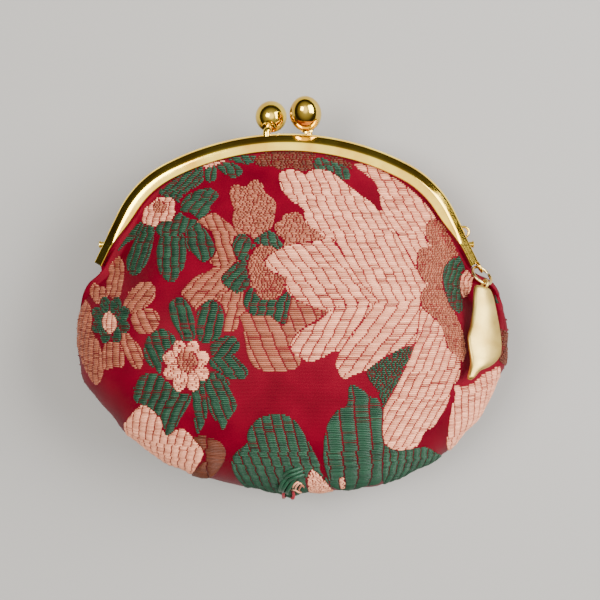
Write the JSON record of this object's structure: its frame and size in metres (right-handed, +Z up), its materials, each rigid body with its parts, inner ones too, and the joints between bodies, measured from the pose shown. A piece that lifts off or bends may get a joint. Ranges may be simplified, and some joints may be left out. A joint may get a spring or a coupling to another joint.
{
  "type": "embroidered kiss-lock coin purse",
  "caption": "Puffed round coin purse of flowered red brocade on an arched gold-coloured metal frame that snaps shut with two crossing balls; a small cast charm hangs from one end on a ring.",
  "frame": {"origin": "on the table, in the middle of the flattened back of the bag", "axes": "+X along the frame towards the charm, +Y towards the clasp balls, +Z up out of the front of the bag"},
  "size_m": [0.096, 0.0894, 0.037],
  "materials": {
    "gold_plate": "polished gold-coloured plating",
    "pale_brass": "satin cast brass",
    "red_brocade": "satin ground with raised flower threads"
  },
  "bodies": {
    "root": {"frame_front": "gold_plate", "frame_back": "gold_plate", "clasp_ball_left": "gold_plate", "clasp_ball_right": "gold_plate", "hinge_rivet_left": "gold_plate", "hinge_rivet_right": "gold_plate", "jump_ring": "gold_plate", "charm": "pale_brass", "front_panel": "red_brocade", "back_panel": "red_brocade"}
  },
  "joints": []
}
